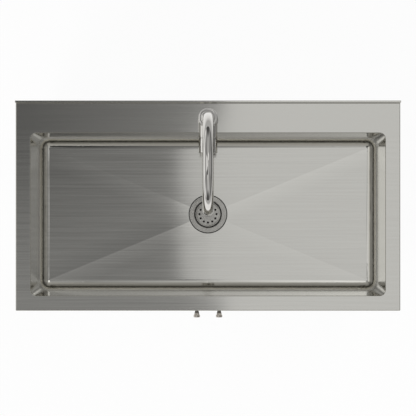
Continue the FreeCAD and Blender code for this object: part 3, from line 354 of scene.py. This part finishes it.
def brush_space(tree, place, normal_x):
    # Long brush lines run along X, and along Y on the faces that look sideways.
    sideways = math_node(tree, "GREATER_THAN", math_node(tree, "ABSOLUTE", normal_x), SIDEWAYS)
    along_x = stretched(tree, place, (BRUSH_ALONG, BRUSH_ACROSS, BRUSH_ACROSS))
    along_y = stretched(tree, place, (BRUSH_ACROSS, BRUSH_ALONG, BRUSH_ACROSS))
    return mix(tree, "VECTOR", sideways, along_x, along_y)


def steel_colour(tree, lines, upright, x, y, above):
    contrast = math_node(tree, "MULTIPLY", map_range(tree, x, *FADE_TO_RIGHT, smooth=True),
                         map_range(tree, y, *FADE_ON_REAR, smooth=True))
    streaks = math_node(tree, "MULTIPLY_ADD", math_node(tree, "SUBTRACT", lines, 0.5), contrast, 0.5)
    # Walls take a lighter tone, which is painted light.
    on_wall = map_range(tree, upright, *WALL_PAINTED_LIGHT_END, 1.0, 0.0, smooth=True)
    colour = mix(tree, "RGBA", on_wall, two_tones(tree, streaks, STEEL_TONES), WALL_PAINTED_LIGHT)
    tinted = toned(tree, colour, ramp(tree, upright, BEND_TINTS, grey=False))
    # Painted shade and painted highlight of the bends and of the creases.
    tone = math_node(tree, "MULTIPLY", ramp(tree, upright, BEND_PAINTED_LIGHT), crease_painted_light(tree, x, y, above))
    return toned(tree, tinted, tone)


def steel_roughness(tree, lines, upright, above):
    on_wall = map_range(tree, upright, *WALL_DULL_END, 1.0, 0.0, smooth=True)
    added = map_range(tree, above, *LOW_WALL, LOW_WALL_ROUGHNESS, WALL_ROUGHNESS, smooth=True)
    dull = math_node(tree, "ADD", two_levels(tree, lines, STEEL_ROUGHNESS),
                     math_node(tree, "MULTIPLY", on_wall, added))
    return math_node(tree, "MULTIPLY", dull, ramp(tree, upright, BEND_POLISH))


def steel_normal(tree, normal, normal_x, upright):
    settle = map_range(tree, upright, *LEVEL_FACES, 0.0, -1.0)
    lean_x = math_node(tree, "MULTIPLY", normal_x, settle)
    lean_z = map_range(tree, upright, *WALL_LEAN_END, WALL_LEAN, 0.0, smooth=True)
    leaning = vector_node(tree, "ADD", normal, combine_xyz(tree, lean_x, 0.0, lean_z))["Vector"]
    return vector_node(tree, "NORMALIZE", leaning)["Vector"]


def brushed_steel(name):
    material, tree, shader = surface_material(name, 1.0)
    place = object_place(tree)
    x, y, z = split_xyz(tree, place)
    above = math_node(tree, "SUBTRACT", z, DECK_Z - BASIN_DEPTH)
    normal = add(tree, "ShaderNodeNewGeometry").outputs["Normal"]
    normal_parts = split_xyz(tree, normal)
    normal_x = normal_parts["X"]
    upright = math_node(tree, "ABSOLUTE", normal_parts["Z"])
    brushed = brush_space(tree, place, normal_x)
    lines = noise(tree, brushed, *LINES)
    fine = noise(tree, brushed, *FINE_LINES)
    tree.links.new(steel_colour(tree, lines, upright, x, y, above), shader.inputs["Base Color"])
    tree.links.new(steel_roughness(tree, lines, upright, above), shader.inputs["Roughness"])
    shader.inputs["Anisotropic"].default_value = ANISOTROPY
    tree.links.new(combine_xyz(tree, *ACROSS_BRUSH), shader.inputs["Tangent"])
    level = map_range(tree, upright, *LINES_START, 0.0, 1.0, smooth=True)
    leaning = steel_normal(tree, normal, normal_x, upright)
    bump(tree, shader, [(lines, LINE_DEPTH), (fine, FINE_LINE_DEPTH)], level, leaning)
    return material


# Settings of the plain finishes: two tones, roughness, scale of the drift, and what else each has
NICKEL = dict(tones=((0.44, 0.41, 0.37), (0.54, 0.505, 0.46)), rough=(0.07, 0.14), scale=300.0,
              metallic=1.0, grain=0.000004)
PLAIN_FINISHES = {
    "chrome": dict(tones=((0.67, 0.655, 0.625), (0.73, 0.715, 0.685)), rough=(0.02, 0.05), scale=30.0,
                   metallic=1.0),
    "nickel": NICKEL,
    "knob_nickel": dict(NICKEL, tone=painted_neck_shade),
    "white_paint": dict(tones=((0.815, 0.815, 0.795), (0.84, 0.84, 0.82)), rough=(0.32, 0.40), scale=9.0,
                        grain=0.00004, grain_scale=700.0, edge=BOARD_EDGE),
    "white_board": dict(tones=((0.785, 0.785, 0.765), (0.81, 0.81, 0.79)), rough=(0.42, 0.50), scale=14.0,
                        grain=0.00003, grain_scale=1400.0, edge=BOARD_EDGE),
    "hardboard": dict(tones=((0.715, 0.705, 0.675), (0.75, 0.74, 0.71)), rough=(0.5, 0.58), scale=40.0,
                      grain=0.00006),
    "pipe_plastic": dict(tones=((0.78, 0.78, 0.76), (0.83, 0.83, 0.81)), rough=(0.25, 0.34), scale=25.0,
                         grain=0.00002, grain_scale=500.0),
    "rubber": dict(tones=((0.018, 0.018, 0.018), (0.03, 0.03, 0.03)), rough=(0.6, 0.75), scale=120.0,
                   grain=0.00003, grain_scale=1500.0),
    "clear_rubber": dict(tones=((0.45, 0.45, 0.43), (0.55, 0.55, 0.53)), rough=(0.4, 0.5), scale=120.0,
                         grain=0.00002, grain_scale=1500.0),
    "fibre": dict(tones=((0.36, 0.26, 0.16), (0.46, 0.35, 0.23)), rough=(0.75, 0.85), scale=400.0,
                  grain=0.00005, grain_scale=2500.0),
    "brass": dict(tones=((0.62, 0.45, 0.20), (0.70, 0.53, 0.26)), rough=(0.25, 0.36), scale=80.0,
                  metallic=1.0, grain=0.00001),
    "cartridge": dict(tones=((0.66, 0.66, 0.64), (0.73, 0.73, 0.71)), rough=(0.35, 0.45), scale=90.0,
                      grain=0.00001),
    "aerator": dict(tones=((0.62, 0.63, 0.64), (0.70, 0.71, 0.72)), rough=(0.35, 0.45), scale=150.0,
                    grain=0.00001),
    "catch": dict(tones=((0.74, 0.74, 0.72), (0.79, 0.79, 0.77)), rough=(0.35, 0.45), scale=60.0,
                  grain=0.00002, grain_scale=1200.0),
    "glide": dict(tones=((0.02, 0.02, 0.02), (0.035, 0.035, 0.035)), rough=(0.45, 0.55), scale=200.0,
                  grain=0.00002, grain_scale=1500.0),
}
# The CAD nodes that have each finish
FINISHES = {
    "steel": ["sink_deck", "sink_basin"],
    "strainer_steel": ["strainer_body", "basket_cup", "basket_post"],
    "rubber": ["strainer_gasket", "basket_stopper", "tap_base_gasket", "mounting_washer", "spout_seals"],
    "fibre": ["friction_washer"],
    "brass": ["strainer_locknut", "mounting_shank", "mounting_nut", "cartridge_lever"],
    "chrome": ["tap_base_ring", "tap_body", "spout", "aerator_shell", "handle_cap", "lever_rod",
               "cartridge_bonnet"],
    "pipe_plastic": ["tailpiece", "coupling_nut", "trap_slip_nuts", "trap_bend", "trap_arm"],
    "cartridge": ["cartridge_housing", "cartridge_turret"],
    "aerator": ["aerator_insert"],
    "white_board": ["left_side_panel", "right_side_panel", "plinth_sides", "bottom_panel", "rear_rails",
                    "toe_board"],
    "white_paint": ["frame_stiles", "frame_rails"],
    "hardboard": ["back_panel"],
    "glide": ["floor_glides"],
    "nickel": ["hinge_frame_leaves", "hinge_pins", "cartridge_pin"],
    "catch": ["magnetic_catches"],
}
# The same for each door, whose nodes' names begin with its side
DOOR_FINISHES = {
    "white_paint": ["door_stiles", "door_rails", "door_panel"],
    "clear_rubber": ["door_bumpers"],
    "nickel": ["hinge_leaves", "strike_plate", "knob_screw"],
    "knob_nickel": ["knob"],
}


def make_materials():
    made = {"steel": brushed_steel("steel"), "strainer_steel": strainer_steel("strainer_steel")}
    for name, settings in PLAIN_FINISHES.items():
        made[name] = plain_finish(name, **settings)
    return made


def dress_nodes():
    for prefixes, finishes in (([""], FINISHES), (["left_", "right_"], DOOR_FINISHES)):
        for finish, nodes in finishes.items():
            for node in (prefix + name for prefix in prefixes for name in nodes):
                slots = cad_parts[node].data.materials
                slots.clear()
                slots.append(materials[finish])


# Shapes of the small pieces
SHARP_ANGLE = math.radians(35)
RING_STEPS = 96
DOME_STEPS = 24
THREAD_STEPS = 48
SCREW_RADIUS = 0.0032
SCREW_HEIGHT = 0.0012
# Outlines of a screw's head and of a cap, as shares of the radius and the height.
SCREW_OUTLINE = ((1.0, 0.0), (1.0, 0.3), (0.93, 0.7), (0.76, 1.0))
CAP_RADIUS = 0.006
CAP_HEIGHT = 0.0011
CAP_OUTLINE = ((1.0, 0.0), (1.0, 0.35), (0.9, 0.75), (0.6, 0.95), (0.2, 1.0))
# The cross recess in a screw's head: its arms, their reach and half width, its floor's size and level.
CROSS_ARMS = 4
CROSS_REACH = 0.55
CROSS_HALF = 0.14
CROSS_FLOOR_SIZE = 0.8
CROSS_FLOOR_LEVEL = 0.25
THREAD_ROOT = 0.01595
THREAD_CREST = 0.01628
THREAD_PITCH = 0.0015
# Half the ridge's width as a share of the pitch, and its least height.
THREAD_HALF = 0.4
THREAD_LEAST = 0.00001


def place_piece(name, bm, body, finish):
    bmesh.ops.recalc_face_normals(bm, faces=bm.faces[:])
    mesh = bpy.data.meshes.new(name)
    bm.to_mesh(mesh)
    bm.free()
    mesh.shade_smooth()
    mesh.set_sharp_from_angle(angle=SHARP_ANGLE)
    mesh.materials.append(materials[finish])
    piece = bpy.data.objects.new(name, mesh)
    scene.collection.objects.link(piece)
    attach(piece, body)


def around(centre, radius, angle, z):
    return (centre[0] + radius * math.cos(angle), centre[1] + radius * math.sin(angle), z)


def add_ring(bm, section, centre):
    # Turns a closed (radius, height) outline about the upright line through centre.
    loops = []
    for k in range(RING_STEPS):
        angle = 2 * math.pi * k / RING_STEPS
        loops.append([bm.verts.new(around(centre, radius, angle, centre[2] + height))
                      for radius, height in section])
    for k in range(RING_STEPS):
        near, far = loops[k - 1], loops[k]
        for i in range(len(section)):
            bm.faces.new((near[i - 1], near[i], far[i], far[i - 1]))


def add_dome(bm, outline, radius, height, place, facing):
    # Turns an open outline about the facing line at place and closes its seat.
    turn = Vector((0, 0, 1)).rotation_difference(Vector(facing)).to_matrix().to_4x4()
    seat = Matrix.Translation(place) @ turn
    loops = []
    for out, up in outline:
        points = [around((0.0, 0.0), out * radius, 2 * math.pi * k / DOME_STEPS, up * height)
                  for k in range(DOME_STEPS)]
        loops.append([bm.verts.new(seat @ Vector(point)) for point in points])
    bm.faces.new(loops[0])
    for low, high in zip(loops, loops[1:]):
        for k in range(DOME_STEPS):
            bm.faces.new((low[k - 1], low[k], high[k], high[k - 1]))
    return seat, loops[-1]


def add_screw(bm, place, facing):
    # A low pan head with a cross recess.
    seat, crown = add_dome(bm, SCREW_OUTLINE, SCREW_RADIUS, SCREW_HEIGHT, place, facing)
    arm = CROSS_REACH * SCREW_RADIUS
    half = CROSS_HALF * SCREW_RADIUS
    quarter = [(arm, -half), (arm, half), (half, half)]
    outline = []
    for k in range(CROSS_ARMS):
        outline += quarter
        quarter = [(-y, x) for x, y in quarter]
    floor_z = CROSS_FLOOR_LEVEL * SCREW_HEIGHT
    top = [bm.verts.new(seat @ Vector((x, y, SCREW_HEIGHT))) for x, y in outline]
    floor = [bm.verts.new(seat @ Vector((CROSS_FLOOR_SIZE * x, CROSS_FLOOR_SIZE * y, floor_z)))
             for x, y in outline]
    edges = [bm.edges.get((crown[k - 1], crown[k])) for k in range(len(crown))]
    edges += [bm.edges.new((top[k - 1], top[k])) for k in range(len(top))]
    bmesh.ops.triangle_fill(bm, use_beauty=True, edges=edges)
    for k in range(len(top)):
        bm.faces.new((top[k - 1], top[k], floor[k], floor[k - 1]))
    bm.faces.new(floor)


def add_cap(bm, place, facing):
    # A press-in cover with a low dome.
    crown = add_dome(bm, CAP_OUTLINE, CAP_RADIUS, CAP_HEIGHT, place, facing)[1]
    bm.faces.new(crown)


def add_thread(bm, centre, low, high):
    # A ridge of three-cornered section wound about an upright line, running in and out at its ends.
    count = int((high - low - THREAD_PITCH) / THREAD_PITCH * THREAD_STEPS)
    rows = []
    for k in range(count + 1):
        angle = 2 * math.pi * k / THREAD_STEPS
        z = low + THREAD_PITCH / 2 + THREAD_PITCH * k / THREAD_STEPS
        grown = min(1.0, k / THREAD_STEPS, (count - k) / THREAD_STEPS)
        crest = THREAD_ROOT + (THREAD_CREST - THREAD_ROOT) * grown + THREAD_LEAST
        half = THREAD_HALF * THREAD_PITCH
        corners = ((THREAD_ROOT, z - half), (crest, z), (THREAD_ROOT, z + half))
        rows.append([bm.verts.new(around(centre, radius, angle, level)) for radius, level in corners])
    for near, far in zip(rows, rows[1:]):
        for i in range(len(near)):
            bm.faces.new((near[i - 1], near[i], far[i], far[i - 1]))
    bm.faces.new(rows[0])
    bm.faces.new(rows[-1])


# Places of the small pieces
FLANGE_RADIUS = 0.057
SEAT_RADIUS = 0.0577
BASKET_RADIUS = 0.0404
BASKET_OPENING = 0.037
# Outlines of the two seal beads, as radius and height above the flange or the basket's rim; the beads are
# black as painted shade in the gaps there.
FLANGE_SEAL = [(FLANGE_RADIUS + 0.0001, -0.0022), (SEAT_RADIUS - 0.0001, -0.0022),
               (SEAT_RADIUS - 0.0001, -0.0004), (SEAT_RADIUS - 0.0006, 0.0005),
               (FLANGE_RADIUS - 0.0009, 0.0008), (FLANGE_RADIUS - 0.0019, 0.0005),
               (FLANGE_RADIUS - 0.0022, 0.00002), (FLANGE_RADIUS + 0.0001, 0.00002)]
RIM_SEAL = [(BASKET_OPENING, 0.00002), (BASKET_RADIUS, 0.00002), (BASKET_RADIUS, 0.0011),
            (BASKET_RADIUS - 0.0008, 0.0019), (BASKET_OPENING + 0.0010, 0.0019), (BASKET_OPENING, 0.0011)]
SIDES = (-1, 1)
LEAF_THICKNESS = 0.0015
HINGE_SCREW_LEVELS = (0.214, 0.250, 0.719, 0.755)
FRAME_SCREW_X = 0.5389
DOOR_SCREW_X = 0.4995
CATCH_X = 0.0325
# Depth and height of each screw cap on a side panel.
CAP_PLACES = ((-0.15, 0.13), (0.05, 0.13), (0.25, 0.13), (0.3012, 0.165), (0.3012, 0.221),
              (0.3012, 0.81), (0.3012, 0.845))
TAP_Y = 0.2565
THREAD_ABOVE_SHANK_END = 0.001
THREAD_BELOW_NUT = 0.0003


def make_seals():
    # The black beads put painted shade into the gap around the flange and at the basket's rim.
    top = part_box("strainer_body")[1].z
    bm = bmesh.new()
    add_ring(bm, FLANGE_SEAL, (*STRAINER, top))
    place_piece("strainer_flange_seal_and_shade", bm, "cabinet", "rubber")
    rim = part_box("basket_cup")[1].z
    bm = bmesh.new()
    add_ring(bm, RIM_SEAL, (*STRAINER, rim))
    place_piece("basket_rim_seal_and_shade", bm, "basket", "rubber")


def make_hinge_screws():
    leaf_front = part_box("hinge_frame_leaves")[1].y - LEAF_THICKNESS
    bm = bmesh.new()
    for side in SIDES:
        for z in HINGE_SCREW_LEVELS:
            add_screw(bm, (side * FRAME_SCREW_X, leaf_front, z), (0, -1, 0))
    place_piece("hinge_frame_screws", bm, "cabinet", "nickel")
    leaf_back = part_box("left_strike_plate")[0].y + LEAF_THICKNESS
    for side, body in zip(SIDES, ("left_door", "right_door")):
        bm = bmesh.new()
        for z in HINGE_SCREW_LEVELS:
            add_screw(bm, (side * DOOR_SCREW_X, leaf_back, z), (0, 1, 0))
        place_piece(body + "_hinge_screws", bm, body, "nickel")


def make_other_fixings():
    low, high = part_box("magnetic_catches")
    bm = bmesh.new()
    for side in SIDES:
        add_screw(bm, (side * CATCH_X, (low.y + high.y) / 2, low.z), (0, 0, -1))
    place_piece("catch_screws", bm, "cabinet", "nickel")
    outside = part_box("right_side_panel")[1].x
    bm = bmesh.new()
    for side in SIDES:
        for y, z in CAP_PLACES:
            add_cap(bm, (side * outside, y, z), (side, 0, 0))
    place_piece("screw_caps", bm, "cabinet", "white_board")
    low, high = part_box("mounting_shank")
    axis = ((low.x + high.x) / 2, TAP_Y)
    thread_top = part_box("mounting_nut")[0].z - THREAD_BELOW_NUT
    bm = bmesh.new()
    add_thread(bm, axis, low.z + THREAD_ABOVE_SHANK_END, thread_top)
    place_piece("shank_thread", bm, "cabinet", "brass")


# Floor: white to the camera and to reflections, with a painted pool of light glowing around the part
FLOOR_SIZE = 160.0
FLOOR_COLOUR = (0.86, 0.86, 0.86, 1.0)
FLOOR_GLOW = 0.94
GLOW_COLOUR = (1.0, 1.0, 1.0, 1.0)
POOL_CENTRE = (-1.4, -1.4, 0.0)
POOL_SPAN = (2.85, 5.2)
POOL_FAR = 0.5


def make_floor():
    bpy.ops.mesh.primitive_plane_add(size=FLOOR_SIZE)
    floor = bpy.context.object
    floor.name = "floor"
    material, tree = empty_material("floor")
    path = add(tree, "ShaderNodeLightPath").outputs
    seen = math_node(tree, "MAXIMUM", path["Is Camera Ray"], path["Is Glossy Ray"])
    seen = math_node(tree, "MAXIMUM", seen, path["Is Transmission Ray"])
    share = math_node(tree, "MULTIPLY", seen, FLOOR_GLOW)
    diffuse = add(tree, "ShaderNodeBsdfDiffuse", {"Color": FLOOR_COLOUR})
    spot = add(tree, "ShaderNodeNewGeometry").outputs["Position"]
    # The painted pool of light: the floor glows less away from the pool's centre.
    away = vector_node(tree, "DISTANCE", spot, POOL_CENTRE)["Value"]
    pool = map_range(tree, away, *POOL_SPAN, 1.0, POOL_FAR, smooth=True)
    glow = add(tree, "ShaderNodeEmission", {"Color": GLOW_COLOUR, "Strength": pool})
    shader = add(tree, "ShaderNodeMixShader", {"Fac": share, 1: diffuse.outputs[0], 2: glow.outputs[0]})
    add(tree, "ShaderNodeOutputMaterial", {"Surface": shader.outputs[0]})
    floor.data.materials.append(material)


# Studio
# Brightness to each side of the edge overhead, by degrees from the zenith.
LEFT_STUDIO = [(0, 0.33), (7, 0.33), (9, 1.0), (27, 1.0), (30, 0.7), (38, 0.7), (41, 0.42), (58, 0.4),
               (68, 0.6), (78, 1.15), (90, 1.15)]
RIGHT_STUDIO = [(0, 0.78), (7, 0.78), (9, 0.41), (20, 0.41), (23, 0.3), (29, 0.3), (32, 0.48), (38, 0.48),
                (41, 0.36), (64, 0.4), (74, 0.1), (90, 0.05)]
# The same, away from the line that runs from side to side.
LEFT_WIDE = [(0, 0.29), (55, 0.25), (66, 0.45), (80, 0.9), (90, 1.15)]
RIGHT_WIDE = [(0, 0.3), (60, 0.3), (76, 0.2), (90, 0.08)]
HORIZON = 90
# Brightness towards the front and the rear, by the share of the direction that points there.
FRONT_LEFT = [(0.12, 0.24), (0.15, 0.07), (0.4, 0.07), (0.45, 0.7), (0.54, 0.7), (0.62, 0.55), (0.85, 0.45),
              (0.97, 0.08)]
FRONT_RIGHT = [(0.12, 0.7), (0.15, 0.64), (0.4, 0.64), (0.48, 0.6), (0.85, 0.6), (0.97, 0.1)]
REAR_LEFT = [(0.12, 0.33), (0.15, 0.4), (0.34, 0.4), (0.44, 0.5), (0.6, 0.5), (0.85, 0.4), (0.97, 0.08)]
REAR_RIGHT = [(0.1, 0.7), (0.13, 1.2), (0.34, 1.2), (0.42, 0.55), (0.6, 0.5), (0.85, 0.45), (0.97, 0.08)]
# Widening, inner and outer half width of the lines through the zenith to the sides and to the ends.
SIDE_LINE = (0.25, 0.12, 0.2)
END_LINE = (0.35, 0.1, 0.2)
END_START = (0.1, 0.14)
MIDDLE_SPAN = 0.08
LEAST_RISE = 0.001
# The edge overhead goes by the slope across: its place at the zenith, its curve towards the front
# and the rear, its greatest bow and its softness.
EDGE_AT_ZENITH = -0.0155
EDGE_CURVE = 10.0
EDGE_BOW = 0.024
EDGE_SOFTNESS = 0.003
# The overhead light fades towards the left and the rear; the fade ends between two angles from the zenith.
FADE_LEFT = 0.096
FADE_REAR = (-0.048, 0.045)
FADE_END = (0.07, 0.14)
FADE_CORNER = 0.155
FADE_EDGE = 0.055
OVERHEAD = (math.radians(6), math.radians(8))


def by_angle(tree, share, stops):
    return ramp(tree, share, [(angle / HORIZON, value) for angle, value in stops])


def near_line(tree, off, along, line):
    # One close to a line through the zenith, nothing away from it; the line widens as it runs down.
    slope, inner, outer = line
    spread = math_node(tree, "MULTIPLY", along, slope)
    return map_range(tree, math_node(tree, "SUBTRACT", off, spread), inner, outer, 1.0, 0.0, smooth=True)


def overhead_fade(tree, across, along, turn):
    leftward = map_range(tree, across, -FADE_LEFT, 0.0, FADE_CORNER + FADE_EDGE, FADE_EDGE)
    rearward = math_node(tree, "MULTIPLY", map_range(tree, along, *FADE_REAR, 0.0, 1.0),
                         map_range(tree, along, *FADE_END, 1.0, 0.0))
    near = map_range(tree, turn, *OVERHEAD, 1.0, 0.0)
    return math_node(tree, "MULTIPLY", math_node(tree, "MULTIPLY", leftward, rearward), near)


def right_of_edge(tree, across, along):
    curve = math_node(tree, "MULTIPLY", math_node(tree, "MULTIPLY", along, along), EDGE_CURVE)
    edge = math_node(tree, "ADD", math_node(tree, "MINIMUM", curve, EDGE_BOW), EDGE_AT_ZENITH)
    past = math_node(tree, "SUBTRACT", across, edge)
    return map_range(tree, past, -EDGE_SOFTNESS, EDGE_SOFTNESS, 0.0, 1.0, smooth=True)


def make_world():
    world = bpy.data.worlds.new("studio")
    scene.world = world
    world.use_nodes = True
    tree = world.node_tree
    tree.nodes.clear()
    x, y, z = split_xyz(tree, add(tree, "ShaderNodeTexCoord").outputs["Generated"])
    reach_x = math_node(tree, "ABSOLUTE", x)
    reach_y = math_node(tree, "ABSOLUTE", y)
    rise = math_node(tree, "MAXIMUM", z, LEAST_RISE)
    across = math_node(tree, "DIVIDE", x, rise)
    along = math_node(tree, "DIVIDE", y, rise)
    turn = math_node(tree, "ARCTAN2", reach_x, z)
    share = map_range(tree, turn, 0.0, math.pi / 2, 0.0, 1.0)
    left = math_node(tree, "SUBTRACT", by_angle(tree, share, LEFT_STUDIO),
                     overhead_fade(tree, across, along, turn))
    right = by_angle(tree, share, RIGHT_STUDIO)
    sides = mix(tree, "FLOAT", right_of_edge(tree, across, along), left, right)
    rightward = map_range(tree, x, -MIDDLE_SPAN, MIDDLE_SPAN, 0.0, 1.0, smooth=True)
    wide = mix(tree, "FLOAT", rightward, by_angle(tree, share, LEFT_WIDE), by_angle(tree, share, RIGHT_WIDE))
    front = mix(tree, "FLOAT", rightward, ramp(tree, reach_y, FRONT_LEFT), ramp(tree, reach_y, FRONT_RIGHT))
    rear = mix(tree, "FLOAT", rightward, ramp(tree, reach_y, REAR_LEFT), ramp(tree, reach_y, REAR_RIGHT))
    ends = mix(tree, "FLOAT", math_node(tree, "GREATER_THAN", y, 0.0), front, rear)
    shade = mix(tree, "FLOAT", near_line(tree, reach_y, reach_x, SIDE_LINE), wide, sides)
    at_ends = math_node(tree, "MULTIPLY", near_line(tree, reach_x, reach_y, END_LINE),
                        map_range(tree, reach_y, *END_START, 0.0, 1.0))
    background = add(tree, "ShaderNodeBackground", {"Color": mix(tree, "FLOAT", at_ends, shade, ends)})
    add(tree, "ShaderNodeOutputWorld", {"Surface": background.outputs[0]})


# Lamps: place and watts of each
LAMPS = {"key": ((-2.2, -3.2, 3.4), 115.0), "fill": ((2.6, 2.8, 3.0), 60.0)}
LAMP_TARGET = Vector((0.0, 0.0, 0.6))
LAMP_SIZE = 2.4


def make_lamps():
    for name, (place, power) in LAMPS.items():
        data = bpy.data.lights.new(name, "AREA")
        data.shape = "DISK"
        data.size = LAMP_SIZE
        data.energy = power
        lamp = bpy.data.objects.new(name, data)
        lamp.location = place
        lamp.rotation_euler = (LAMP_TARGET - Vector(place)).to_track_quat("-Z", "Y").to_euler()
        lamp.visible_glossy = False
        scene.collection.objects.link(lamp)


make_camera()
materials = make_materials()
dress_nodes()
make_seals()
make_hinge_screws()
make_other_fixings()
make_floor()
make_world()
make_lamps()
